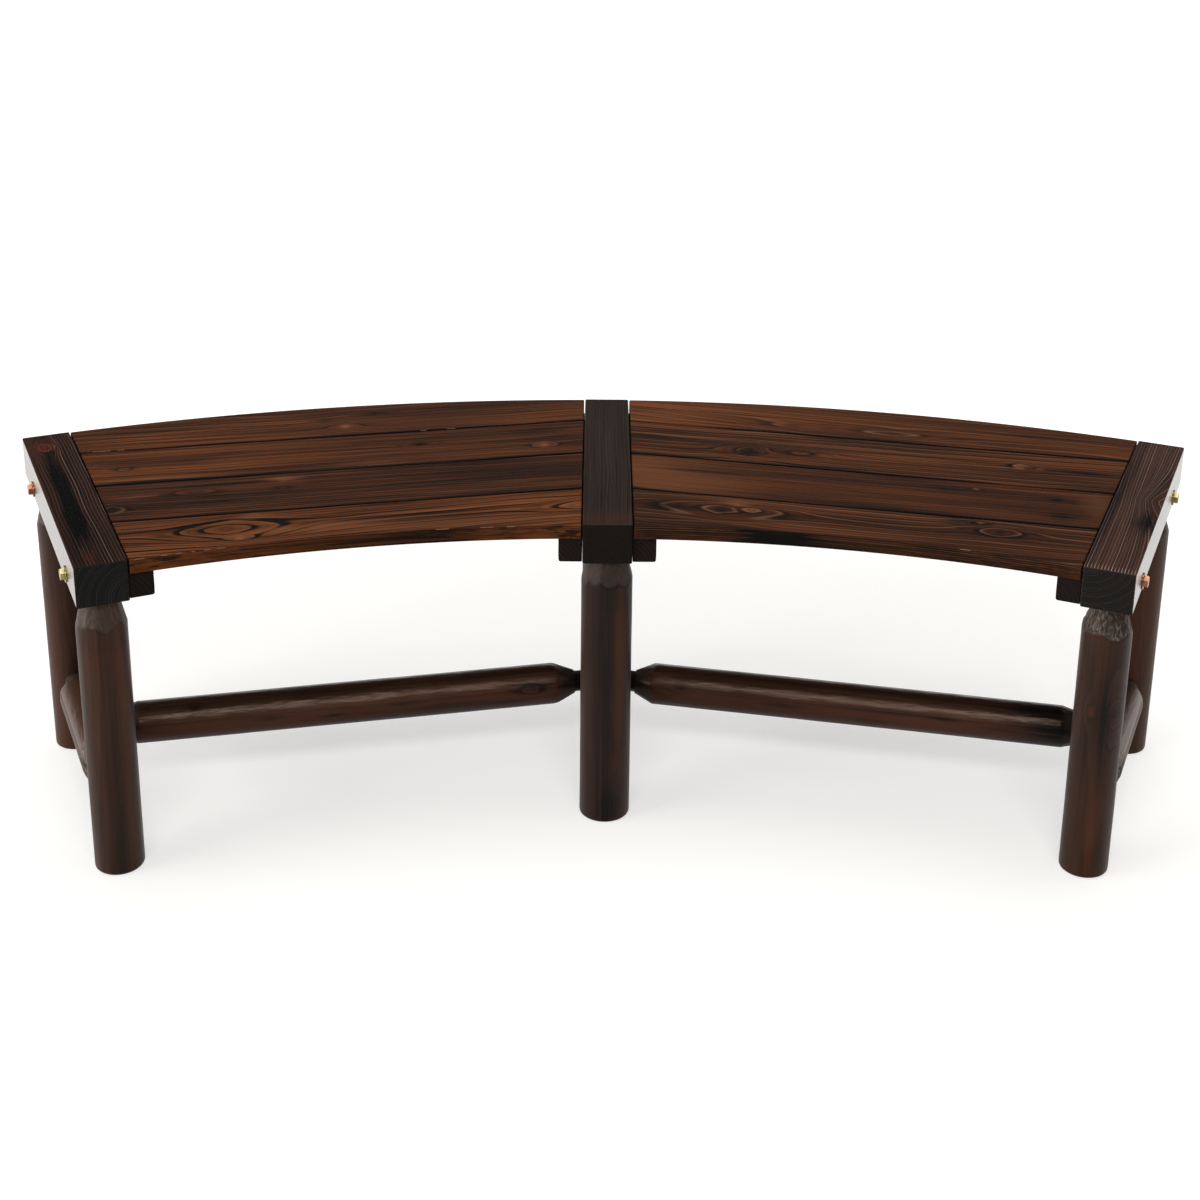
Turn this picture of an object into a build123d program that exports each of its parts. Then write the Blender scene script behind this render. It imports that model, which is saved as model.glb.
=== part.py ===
from build123d import *
import math
import os

# Curved garden bench of carbonised fir, in millimetres and degrees.
# Three log trestles stand on rays from one centre, in front of the seat, and two slatted panels
# hang between their beams. Z is up, the floor is Z = 0, and the concave front faces -Y.
# The origin lies under the middle of the bench.

# Seat
SEAT_HEIGHT = 410.0
SEAT_DEPTH = 425.0
FRONT_RADIUS = 1460.0
TRESTLE_ANGLE = 23.1

# Squared beams, one on top of each trestle
BEAM_WIDTH = 60.0
BEAM_HEIGHT = 52.0
BEAM_EASE = 2.0

# Log legs, with a hewn shoulder and a tenon under the beam
END_LEG_DIAMETER = 59.5
MIDDLE_LEG_DIAMETER = 63.5
FRONT_LEG_INSET = 31.0
REAR_LEG_INSET = 83.0
LEG_TAPER = 36.0
LEFT_SHOULDER_DIAMETER = 42.0
MIDDLE_SHOULDER_DIAMETER = 49.0
RIGHT_SHOULDER_DIAMETER = 36.0
LEG_TENON_DIAMETER = 32.0
LEG_TENON_LENGTH = 34.0
FOOT_ROUNDING = 4.0

# Log cross rails, from the front leg to the rear leg
RAIL_HEIGHT = 100.0
RAIL_DIAMETER = 55.0
RAIL_TAPER = 26.0
RAIL_NECK = 10.0
RAIL_TENON_DIAMETER = 30.0
RAIL_TENON_LENGTH = 24.0

# Log stretchers, from each end rail to the middle rail; their outer ends are left blunt
STRETCHER_HEIGHT = 102.5
STRETCHER_DIAMETER = 54.0
STRETCHER_TAPER = 27.0
STRETCHER_NECK = 14.0
BLUNT_DIAMETER = 45.0
BLUNT_TAPER = 16.0
LEFT_BLUNT_NECK = 15.0
RIGHT_BLUNT_NECK = 21.0
STRETCHER_TENON_DIAMETER = 27.0
STRETCHER_TENON_LENGTH = 18.0

# Drawknife facets on the log ends, each a little longer or shorter than the next
HEWN_FACETS = 11
MIDDLE_LEG_FACETS = 9
HEWN_TURN = 137.5
HEWN_WANDER = 0.25
TENON_LIP = 1.5

# Clearances of the round mortises
TENON_FIT = 0.15
TENON_END_GAP = 2.0

# Seat boards: straight stock laid across each panel, trimmed on the two arcs
BOARDS = 4
BOARD_THICKNESS = 18.0
BOARD_GAP = 3.8
BOARD_DROP = 1.0
BOARD_END_GAP = 1.5
BOARD_EASE = 1.5
REAR_TRIM = 2.5
FRONT_TRIM = 0.5

# Cleats that carry the boards beside the beams
CLEAT_WIDTH = 28.5
CLEAT_HEIGHT = 32.0
CLEAT_SETBACK = 4.0
CLEAT_ROUNDING = 4.0
CLEAT_GAP = 0.4

# Hex bolts through beam and cleat; the rear one also pins the rear leg's tenon
BOLT_DIAMETER = 8.0
BOLT_HEAD_WIDTH = 13.0
BOLT_HEAD_HEIGHT = 5.3
BOLT_END = 3.0
BOLT_RISE = 12.0
FRONT_BOLT_INSET = 74.0
BOLT_FIT = 0.5
NUT_HEIGHT = 6.5
WASHER_DIAMETER = 20.0
WASHER_THICKNESS = 1.6
STEEL_FIT = 0.1

# Countersunk screws, up through the cleats into the boards
SCREW_DIAMETER = 4.0
SCREW_HEAD_DIAMETER = 8.0
SCREW_LENGTH = 42.0
SCREW_TIP = 4.0
SCREW_EDGE = 20.0
SCREW_FIT = 0.1

# Levels
BEAM_BOTTOM = SEAT_HEIGHT - BEAM_HEIGHT
BOARD_BOTTOM = SEAT_HEIGHT - BOARD_DROP - BOARD_THICKNESS
CLEAT_BOTTOM = BOARD_BOTTOM - CLEAT_HEIGHT
BOLT_HEIGHT = BEAM_BOTTOM + BOLT_RISE

# Places along a trestle, as distances from the centre of the arcs
REAR_RADIUS = FRONT_RADIUS + SEAT_DEPTH
FRONT_LEG = FRONT_RADIUS + FRONT_LEG_INSET
REAR_LEG = REAR_RADIUS - REAR_LEG_INSET
RAIL_MIDDLE = (FRONT_LEG + REAR_LEG) / 2
BOLT_PLACES = (FRONT_RADIUS + FRONT_BOLT_INSET, REAR_LEG)

# Places across a trestle, as distances from its middle plane
CLEAT_INNER = BEAM_WIDTH / 2 + CLEAT_GAP
CLEAT_MIDDLE = CLEAT_INNER + CLEAT_WIDTH / 2
CLEAT_OUTER = CLEAT_INNER + CLEAT_WIDTH

# A stretcher crosses the bisector of its panel squarely, so it meets each rail half the angle off square
HALF_ANGLE = math.radians(TRESTLE_ANGLE / 2)
STRETCHER_SPAN = 2 * RAIL_MIDDLE * math.sin(HALF_ANGLE)
RAIL_REACH = math.sqrt((RAIL_DIAMETER / 2) ** 2 - (STRETCHER_HEIGHT - RAIL_HEIGHT) ** 2) / math.cos(HALF_ANGLE)

# Hewn ends of the rails and stretchers: tip diameter, taper and neck
RAIL_END = (RAIL_TENON_DIAMETER + 2 * TENON_LIP, RAIL_TAPER, RAIL_NECK)
INNER_END = (STRETCHER_TENON_DIAMETER + 2 * TENON_LIP, STRETCHER_TAPER, STRETCHER_NECK)
LEFT_OUTER_END = (BLUNT_DIAMETER, BLUNT_TAPER, LEFT_BLUNT_NECK)
RIGHT_OUTER_END = (BLUNT_DIAMETER, BLUNT_TAPER, RIGHT_BLUNT_NECK)

# Legs of each trestle: diameter, shoulder diameter, facets of the top and how far they are turned
LEFT_LEGS = (END_LEG_DIAMETER, LEFT_SHOULDER_DIAMETER, HEWN_FACETS, 10)
MIDDLE_LEGS = (MIDDLE_LEG_DIAMETER, MIDDLE_SHOULDER_DIAMETER, MIDDLE_LEG_FACETS, -162)
RIGHT_LEGS = (END_LEG_DIAMETER, RIGHT_SHOULDER_DIAMETER, HEWN_FACETS, 40)

# The bench's box ends at the middle beam's rear face and at the end beams' rounded front corners
END_ANGLE = math.radians(TRESTLE_ANGLE)
CORNER_FORWARD = (FRONT_RADIUS + BEAM_EASE) * math.cos(END_ANGLE)
CORNER_SIDEWAYS = (BEAM_WIDTH / 2 - BEAM_EASE) * math.sin(END_ANGLE)
CENTRE_DISTANCE = (REAR_RADIUS + CORNER_FORWARD - CORNER_SIDEWAYS - BEAM_EASE) / 2

FROM_BASE = (Align.CENTER, Align.CENTER, Align.MIN)


def rod(start, direction, diameter, length):
    """A round bar from a point along a direction, used for tenons, mortises and bores."""
    return Plane(start, z_dir=direction).location * Cylinder(diameter / 2, length, align=FROM_BASE)


def hewn(log, top, diameter, tip_diameter, taper, facets):
    """Shaves flat facets around the upper end of an upright log, down to the tip at its top."""
    drop = (diameter - tip_diameter) / 2
    for facet in range(facets):
        around = 2 * math.pi * facet / facets
        reach = taper * (1 + HEWN_WANDER * math.cos(math.radians(HEWN_TURN * facet)))
        out = Vector(math.cos(around), math.sin(around), 0)
        cut = Plane(out * (tip_diameter / 2) + Vector(0, 0, top), z_dir=out * reach + Vector(0, 0, drop))
        log = split(log, cut, keep=Keep.BOTTOM)
    return log


def hewn_rail(clear, diameter, tenon_diameter, tenon_length, ends):
    """A log along Z, about the middle of the clear span between its mortises.

    Each end, the lower one first, is hewn down to its tip and goes on as a neck and a tenon.
    """
    low_neck, high_neck = [end[2] for end in ends]
    log = Cylinder(diameter / 2, clear - low_neck - high_neck, align=FROM_BASE)
    log = Pos(0, 0, low_neck - clear / 2) * log
    for tip_diameter, taper, neck in ends:
        log = hewn(Rot(180, 0, 0) * log, clear / 2 - neck, diameter, tip_diameter, taper, HEWN_FACETS)
    return log + Cylinder(tenon_diameter / 2, clear + 2 * tenon_length)


def beam():
    """A squared beam with blind mortises for the legs and cross bores for the bolts."""
    middle = (FRONT_RADIUS + REAR_RADIUS) / 2
    block = Pos(0, middle, BEAM_BOTTOM) * Box(BEAM_WIDTH, SEAT_DEPTH, BEAM_HEIGHT, align=FROM_BASE)
    block = fillet(block.edges(), BEAM_EASE)
    mortise = LEG_TENON_DIAMETER + 2 * TENON_FIT
    depth = LEG_TENON_LENGTH + TENON_END_GAP
    for place in (FRONT_LEG, REAR_LEG):
        block -= rod((0, place, BEAM_BOTTOM), (0, 0, 1), mortise, depth)
    return block - bolt_bores(-BEAM_WIDTH / 2, BEAM_WIDTH / 2)


def bolt_bores(start, end):
    """The bores for a trestle's two bolts, between two distances from its middle plane."""
    bore = BOLT_DIAMETER + 2 * BOLT_FIT
    return [rod((start, place, BOLT_HEIGHT), (1, 0, 0), bore, end - start) for place in BOLT_PLACES]


def leg(place, towards_rail, diameter, shoulder_diameter, facets, turn):
    """A log leg at its place along the trestle, with a mortise on the side where the cross rail comes in."""
    log = Cylinder(diameter / 2, BEAM_BOTTOM, align=FROM_BASE)
    log = fillet(log.edges().sort_by(Axis.Z)[0], FOOT_ROUNDING)
    log = hewn(log, BEAM_BOTTOM, diameter, shoulder_diameter, LEG_TAPER, facets)
    log = Pos(0, place, 0) * Rot(0, 0, turn) * log
    log += rod((0, place, BEAM_BOTTOM), (0, 0, 1), LEG_TENON_DIAMETER, LEG_TENON_LENGTH)
    mortise = RAIL_TENON_DIAMETER + 2 * TENON_FIT
    depth = RAIL_TENON_LENGTH + TENON_END_GAP
    floor = diameter / 2 - depth
    log -= rod((0, place + towards_rail * floor, RAIL_HEIGHT), (0, towards_rail, 0), mortise, depth)
    return log - bolt_bores(-BEAM_WIDTH / 2, BEAM_WIDTH / 2)


def cross_rail(leg_diameter, stretcher_sides):
    """A cross rail between the legs, with a slanted socket on each side where a stretcher comes in."""
    clear = REAR_LEG - FRONT_LEG - leg_diameter
    rail = hewn_rail(clear, RAIL_DIAMETER, RAIL_TENON_DIAMETER, RAIL_TENON_LENGTH, (RAIL_END, RAIL_END))
    rail = Plane((0, RAIL_MIDDLE, RAIL_HEIGHT), z_dir=(0, 1, 0)).location * rail
    centre = Vector(0, RAIL_MIDDLE, STRETCHER_HEIGHT)
    socket = STRETCHER_TENON_DIAMETER + 2 * TENON_FIT
    depth = STRETCHER_TENON_LENGTH + TENON_END_GAP
    for side in stretcher_sides:
        along = Vector(side * math.cos(HALF_ANGLE), -math.sin(HALF_ANGLE), 0)
        rail -= rod(centre + along * (RAIL_REACH - depth), along, socket, RAIL_DIAMETER)
    return rail


def stretcher(ends):
    """A stretcher across the bisector of its panel, from one cross rail to the next."""
    clear = STRETCHER_SPAN - 2 * RAIL_REACH
    log = hewn_rail(clear, STRETCHER_DIAMETER, STRETCHER_TENON_DIAMETER, STRETCHER_TENON_LENGTH, ends)
    centre = (0, RAIL_MIDDLE * math.cos(HALF_ANGLE), STRETCHER_HEIGHT)
    return Plane(centre, z_dir=(1, 0, 0)).location * log


def panel_corner(radius):
    """Where an arc of the seat meets the ends of the boards, across and along the panel's bisector."""
    sideways = BEAM_WIDTH / 2 + BOARD_END_GAP
    along = math.sqrt(radius**2 - sideways**2)
    across = along * math.sin(HALF_ANGLE) - sideways * math.cos(HALF_ANGLE)
    return across, along * math.cos(HALF_ANGLE) + sideways * math.sin(HALF_ANGLE)


def board_edges(number):
    """Front and rear edges of a board's stock along the panel's bisector; board 0 is the rear one.

    Equal boards reach from the crown of the rear arc to the corners of the front one.
    """
    rearmost = REAR_RADIUS + REAR_TRIM
    foremost = panel_corner(FRONT_RADIUS)[1] - FRONT_TRIM
    pitch = (rearmost - foremost + BOARD_GAP) / BOARDS
    rear = rearmost - number * pitch
    return rear - pitch + BOARD_GAP, rear


def screw_places(number):
    """Distances along a trestle of the screws that hold one board, on the middle line of a cleat."""
    shift = CLEAT_MIDDLE * math.sin(HALF_ANGLE)
    front, rear = [(edge - shift) / math.cos(HALF_ANGLE) for edge in board_edges(number)]
    front = max(front, math.sqrt(FRONT_RADIUS**2 - CLEAT_MIDDLE**2))
    rear = min(rear, math.sqrt(REAR_RADIUS**2 - CLEAT_MIDDLE**2))
    return front + SCREW_EDGE, rear - SCREW_EDGE


def screw(allowance):
    """A countersunk screw, point up, from the underside of the cleat; an allowance makes it a pilot hole."""
    head = SCREW_HEAD_DIAMETER / 2 + allowance
    shank = SCREW_DIAMETER / 2 + allowance
    neck = head - shank
    tip = SCREW_LENGTH + allowance
    outline = Polyline((0, 0), (head, 0), (shank, neck), (shank, tip - SCREW_TIP), (0, tip), close=True)
    return Pos(0, 0, CLEAT_BOTTOM) * revolve(Plane.XZ * make_face(outline), Axis.Z)


def board_screws(number, side, allowance):
    """Screws of one board beside one beam, in the trestle's frame."""
    form = screw(allowance)
    return [Pos(side * CLEAT_MIDDLE, place, 0) * form for place in screw_places(number)]


def cleat(side):
    """A cleat beside a beam, on its +X or -X side, with the lower free corner rounded."""
    length = SEAT_DEPTH - 2 * CLEAT_SETBACK
    middle = (FRONT_RADIUS + REAR_RADIUS) / 2
    block = Pos(0, middle, CLEAT_BOTTOM) * Box(CLEAT_WIDTH, length, CLEAT_HEIGHT, align=FROM_BASE)
    free_corner = block.edges().filter_by(Axis.Y).group_by(Axis.Z)[0].sort_by(Axis.X)[-1]
    block = Pos(CLEAT_MIDDLE, 0, 0) * fillet(free_corner, CLEAT_ROUNDING)
    block -= bolt_bores(CLEAT_INNER, CLEAT_OUTER)
    for number in range(BOARDS):
        block -= board_screws(number, 1, SCREW_FIT)
    return block if side > 0 else mirror(block, Plane.YZ)


def seat_boards():
    """The boards of one panel, about its bisector, from the rear one to the front one."""
    front_x, front_y = panel_corner(FRONT_RADIUS)
    rear_x, rear_y = panel_corner(REAR_RADIUS)
    outline = [
        ThreePointArc((-front_x, front_y), (0, FRONT_RADIUS), (front_x, front_y)),
        Line((front_x, front_y), (rear_x, rear_y)),
        ThreePointArc((rear_x, rear_y), (0, REAR_RADIUS), (-rear_x, rear_y)),
        Line((-rear_x, rear_y), (-front_x, front_y)),
    ]
    panel = Pos(0, 0, BOARD_BOTTOM) * extrude(make_face(outline), BOARD_THICKNESS)
    boards = []
    for number in range(BOARDS):
        front, rear = board_edges(number)
        stock = Box(3 * rear_x, rear - front, 3 * SEAT_HEIGHT)
        board = panel & Pos(0, (front + rear) / 2, 0) * stock
        board = fillet(board.faces().sort_by(Axis.Z)[-1].edges(), BOARD_EASE)
        for side in (-1, 1):
            turn = Rot(0, 0, -side * TRESTLE_ANGLE / 2)
            board -= [turn * hole for hole in board_screws(number, -side, SCREW_FIT)]
        boards.append(board)
    return boards


def panel_screws():
    """All screws of one panel, about its bisector."""
    screws = []
    for side in (-1, 1):
        turn = Rot(0, 0, -side * TRESTLE_ANGLE / 2)
        for number in range(BOARDS):
            screws += [turn * screw for screw in board_screws(number, -side, 0)]
    return Compound([solid for screw in screws for solid in screw.solids()])


def hex_bar(length):
    """A hexagonal bar from its base, the width of the bolt heads and nuts."""
    return extrude(RegularPolygon(BOLT_HEAD_WIDTH / 2, 6, major_radius=False), length)


def fasteners(head_face, nut_face):
    """A trestle's two bolts with their washers and nuts, clamped between two faces across the trestle."""
    grip = abs(nut_face - head_face)
    across = (1 if nut_face > head_face else -1, 0, 0)
    hole = BOLT_DIAMETER + 2 * STEEL_FIT
    nut_base = grip + WASHER_THICKNESS
    shank = nut_base + NUT_HEIGHT + BOLT_END + WASHER_THICKNESS
    head = Pos(0, 0, -WASHER_THICKNESS - BOLT_HEAD_HEIGHT) * hex_bar(BOLT_HEAD_HEIGHT)
    bolt = head + rod((0, 0, -WASHER_THICKNESS), (0, 0, 1), BOLT_DIAMETER, shank)
    ring = rod((0, 0, 0), (0, 0, 1), WASHER_DIAMETER, WASHER_THICKNESS)
    ring -= rod((0, 0, 0), (0, 0, 1), hole, WASHER_THICKNESS)
    nut = hex_bar(NUT_HEIGHT) - rod((0, 0, 0), (0, 0, 1), hole, NUT_HEIGHT)
    groups = {"bolts": [], "washers": [], "nuts": []}
    for place in BOLT_PLACES:
        seat = Plane((head_face, place, BOLT_HEIGHT), z_dir=across).location
        groups["bolts"].append(seat * bolt)
        groups["washers"] += [seat * Pos(0, 0, -WASHER_THICKNESS) * ring, seat * Pos(0, 0, grip) * ring]
        groups["nuts"].append(seat * Pos(0, 0, nut_base) * nut)
    for name, group in groups.items():
        groups[name] = Compound([solid for part in group for solid in part.solids()])
    return groups


def place_on_arc(shape, angle):
    """Turns a shape about the centre of the arcs, which lies in front of the bench."""
    return Pos(0, -CENTRE_DISTANCE, 0) * Rot(0, 0, angle) * shape


def trestle(name, angle, sides, legs, head_face, nut_face):
    """One trestle with its fasteners; the seat panels lie on the given sides of it."""
    pieces = {
        f"{name}_beam": beam(),
        f"{name}_front_leg": leg(FRONT_LEG, 1, *legs),
        f"{name}_rear_leg": leg(REAR_LEG, -1, *legs),
        f"{name}_cross_rail": cross_rail(legs[0], sides),
    }
    for group, shape in fasteners(head_face, nut_face).items():
        pieces[f"{name}_{group}"] = shape
    return {piece: place_on_arc(shape, angle) for piece, shape in pieces.items()}


def panel(name, angle, stretcher_ends):
    """One seat panel with its stretcher below it."""
    pieces = {f"{name}_slat_{number + 1}": board for number, board in enumerate(seat_boards())}
    pieces[f"{name}_slat_screws"] = panel_screws()
    pieces[f"{name}_stretcher"] = stretcher(stretcher_ends)
    return {piece: place_on_arc(shape, angle) for piece, shape in pieces.items()}


def bench():
    """Every piece of the bench by name."""
    outside = BEAM_WIDTH / 2
    pieces = {}
    pieces |= trestle("left", TRESTLE_ANGLE, [1], LEFT_LEGS, -outside, CLEAT_OUTER)
    pieces |= trestle("middle", 0, [-1, 1], MIDDLE_LEGS, -CLEAT_OUTER, CLEAT_OUTER)
    pieces |= trestle("right", -TRESTLE_ANGLE, [-1], RIGHT_LEGS, outside, -CLEAT_OUTER)
    pieces |= panel("left", TRESTLE_ANGLE / 2, (LEFT_OUTER_END, INNER_END))
    pieces |= panel("right", -TRESTLE_ANGLE / 2, (INNER_END, RIGHT_OUTER_END))
    pieces["left_outer_cleat"] = place_on_arc(cleat(1), TRESTLE_ANGLE)
    pieces["left_inner_cleat"] = place_on_arc(cleat(-1), 0)
    pieces["right_inner_cleat"] = place_on_arc(cleat(1), 0)
    pieces["right_outer_cleat"] = place_on_arc(cleat(-1), -TRESTLE_ANGLE)
    return pieces


os.makedirs("parts", exist_ok=True)
for node, shape in bench().items():
    export_step(shape, f"parts/{node}.step")
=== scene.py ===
import functools
from math import cos, pi, radians, sin, sqrt, tan

import bpy
import numpy as np
from mathutils import Matrix, Vector


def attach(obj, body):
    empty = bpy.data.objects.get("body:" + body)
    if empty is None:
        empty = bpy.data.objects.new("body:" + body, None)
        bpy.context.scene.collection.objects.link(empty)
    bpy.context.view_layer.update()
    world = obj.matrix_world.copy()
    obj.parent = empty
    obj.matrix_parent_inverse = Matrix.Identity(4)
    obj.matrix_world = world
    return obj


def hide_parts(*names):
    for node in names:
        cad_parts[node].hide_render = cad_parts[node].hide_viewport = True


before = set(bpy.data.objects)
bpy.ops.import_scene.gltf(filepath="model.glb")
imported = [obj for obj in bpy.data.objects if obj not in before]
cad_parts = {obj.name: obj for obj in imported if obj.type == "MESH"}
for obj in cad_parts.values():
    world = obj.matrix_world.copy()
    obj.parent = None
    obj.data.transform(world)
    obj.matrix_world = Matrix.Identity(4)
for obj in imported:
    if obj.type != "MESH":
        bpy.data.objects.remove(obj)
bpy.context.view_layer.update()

# Curved garden bench of carbonised fir: three log trestles on rays from one centre, two slatted panels
# between them. Sizes are in millimetres and degrees, as in the solids; placing a piece turns them to metres.
SEAT_HEIGHT = 410
FRONT_RADIUS = 1460
REAR_RADIUS = 1885
TRESTLE_ANGLE = 23.1
HALF_ANGLE = radians(TRESTLE_ANGLE / 2)
PANELS = {"left": TRESTLE_ANGLE / 2, "right": -TRESTLE_ANGLE / 2}
BEAM_WIDTH = 60
BEAM_HEIGHT = 52
BEAM_EASE = 2
BEAM_BOTTOM = SEAT_HEIGHT - BEAM_HEIGHT
BEAM_LENGTH = REAR_RADIUS - FRONT_RADIUS
BEAM_MIDDLE = (FRONT_RADIUS + REAR_RADIUS) / 2
END_LEG_DIAMETER = 59.5
MIDDLE_LEG_DIAMETER = 63.5
LEG_TAPER = 36
LEG_TENON_DIAMETER = 32
LEG_TENON_LENGTH = 34
FOOT_ROUNDING = 4
FRONT_LEG = FRONT_RADIUS + 31
REAR_LEG = REAR_RADIUS - 83
RAIL_HEIGHT = 100
RAIL_DIAMETER = 55
RAIL_TENON_DIAMETER = 30
RAIL_MIDDLE = (FRONT_LEG + REAR_LEG) / 2
STRETCHER_HEIGHT = 102.5
STRETCHER_DIAMETER = 54
STRETCHER_TENON_DIAMETER = 27
STRETCHER_RISE = STRETCHER_HEIGHT - RAIL_HEIGHT
RAIL_REACH = sqrt((RAIL_DIAMETER / 2) ** 2 - STRETCHER_RISE**2) / cos(HALF_ANGLE)
STRETCHER_CLEAR = 2 * RAIL_MIDDLE * sin(HALF_ANGLE) - 2 * RAIL_REACH
TENON_LIP = 1.5
TENON_BITE = 8
HEWN_FACETS = 11
MIDDLE_LEG_FACETS = 9
HEWN_TURN = 137.5
HEWN_WANDER = 0.12
FACET_CROWN = 0.55
FACET_FACING = 0.3
BOARDS = 4
BOARD_THICKNESS = 18
BOARD_GAP = 3.8
BOARD_EASE = 1.5
BOARD_END_GAP = 1.5
BOARD_BOTTOM = SEAT_HEIGHT - 1 - BOARD_THICKNESS
BOARD_REARMOST = REAR_RADIUS + 2.5
FRONT_TRIM = 0.5
CLEAT_WIDTH = 28.5
CLEAT_HEIGHT = 32
CLEAT_LENGTH = BEAM_LENGTH - 8
CLEAT_EASE = 1.2
CLEAT_ROUNDING = 4
CLEAT_INNER = BEAM_WIDTH / 2 + 0.4
CLEAT_OUTER = CLEAT_INNER + CLEAT_WIDTH
BOLT_DIAMETER = 8
BOLT_HEAD_WIDTH = 13
BOLT_HEAD_HEIGHT = 5.3
BOLT_HEIGHT = BEAM_BOTTOM + 12
BOLT_PLACES = (FRONT_RADIUS + 74, REAR_LEG)
BOLT_END = 3
THREAD_PITCH = 1.25
THREAD_DEPTH = 0.6
THREAD_LENGTH = 14
NUT_HEIGHT = 6.5
CHAMFER_RISE = 1.7
WASHER_DIAMETER = 20
WASHER_THICKNESS = 1.6
WASHER_HOLE = BOLT_DIAMETER + 0.2

# Hewn ends of the rails and stretchers: tip diameter, taper and neck; a stretcher's outer end is left blunt
RAIL_END = (RAIL_TENON_DIAMETER + 2 * TENON_LIP, 26, 10)
INNER_END = (STRETCHER_TENON_DIAMETER + 2 * TENON_LIP, 27, 14)
LEFT_OUTER_END = (45, 16, 15)
RIGHT_OUTER_END = (45, 16, 21)

# How far the ends of a rail or stretcher are charred, and how much further along bare ends are trimmed
RAIL_CHAR = (0, 0.7)
STRETCHER_CHAR = (0.9, 0.9)
BARE_TRIM = 2.2

# Legs of each trestle: diameter, shoulder diameter, facets of the top and how far they are turned
LEFT_LEGS = (END_LEG_DIAMETER, 42, HEWN_FACETS, 10)
MIDDLE_LEGS = (MIDDLE_LEG_DIAMETER, 49, MIDDLE_LEG_FACETS, -162)
RIGHT_LEGS = (END_LEG_DIAMETER, 36, HEWN_FACETS, 40)

# The arcs' centre lies in front of the bench, this far from its middle
END_ANGLE = radians(TRESTLE_ANGLE)
CORNER_FORWARD = (FRONT_RADIUS + BEAM_EASE) * cos(END_ANGLE)
CORNER_SIDEWAYS = (BEAM_WIDTH / 2 - BEAM_EASE) * sin(END_ANGLE)
CENTRE_DISTANCE = (REAR_RADIUS + CORNER_FORWARD - CORNER_SIDEWAYS - BEAM_EASE) / 2

# Where the front arc meets the ends of the boards, across and along the panel's bisector
BOARD_ASIDE = BEAM_WIDTH / 2 + BOARD_END_GAP
BOARD_AHEAD = sqrt(FRONT_RADIUS**2 - BOARD_ASIDE**2)
PANEL_ACROSS = BOARD_AHEAD * sin(HALF_ANGLE) - BOARD_ASIDE * cos(HALF_ANGLE)
PANEL_ALONG = BOARD_AHEAD * cos(HALF_ANGLE) + BOARD_ASIDE * sin(HALF_ANGLE)
BOARD_PITCH = (BOARD_REARMOST - PANEL_ALONG + FRONT_TRIM + BOARD_GAP) / BOARDS

# How finely the pieces are meshed: the steps across sawn faces, and the sides of round ones
FRONT_BOARD_STEP = 3.0
BOARD_STEP = 3.6
BEAM_STEP = 4.0
CLEAT_STEP = 5.0
FIRST_STEP = 1.2
LEG_SIDES = 112
RAIL_SIDES = 96
FASTENER_SIDES = 48
FITTING_ROUNDS = 5

# Lengths along and across the grain over which the wood's markings change
CLOUD_SIZE = (260, 34)
FIBRE_SIZE = (300, 4)
SOOT_SIZE = (330, 5)
TEAR_SIZE = (13, 3.6)
FLAT_SIZE = (26, 7)

# Each piece takes its markings from stock of its own, this far along from the last
STOCK_APART = 700

# What the wooden pieces have in common
LAYERS = ("figure", "finish", "stock", "grain")
EASED = {"interpolation_type": "SMOOTHSTEP"}
SCORCH_AND_SHADING_RANGE = (-1, 1.6)
LACQUER_LINE = 8
HEWN_DARK = "#2d2420"
HEWN_PALE = "#7d7067"
RAW_WOOD_AND_HIGHLIGHT = "#a2876f"


def linear(code):
    """An sRGB hex colour as linear red, green, blue and alpha."""
    parts = [int(code[i : i + 2], 16) / 255 for i in (1, 3, 5)]
    return [c / 12.92 if c <= 0.04045 else ((c + 0.055) / 1.055) ** 2.4 for c in parts] + [1.0]


def node(tree, kind, sockets=None, operation=None, **settings):
    """Adds a shader node. Each socket, by name or number, takes a node's output, a hex colour or a value."""
    made = tree.nodes.new("ShaderNode" + kind)
    if operation:
        made.operation = operation
    for key, value in settings.items():
        setattr(made, key, value)
    for key, value in (sockets or {}).items():
        if isinstance(value, bpy.types.NodeSocket):
            tree.links.new(value, made.inputs[key])
        else:
            made.inputs[key].default_value = linear(value) if isinstance(value, str) else value
    return made.outputs


def bare_material(name):
    """A material with an empty node tree, and the node function for that tree."""
    material = bpy.data.materials.new(name)
    material.use_nodes = True
    material.node_tree.nodes.clear()
    return material, functools.partial(node, material.node_tree)


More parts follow.
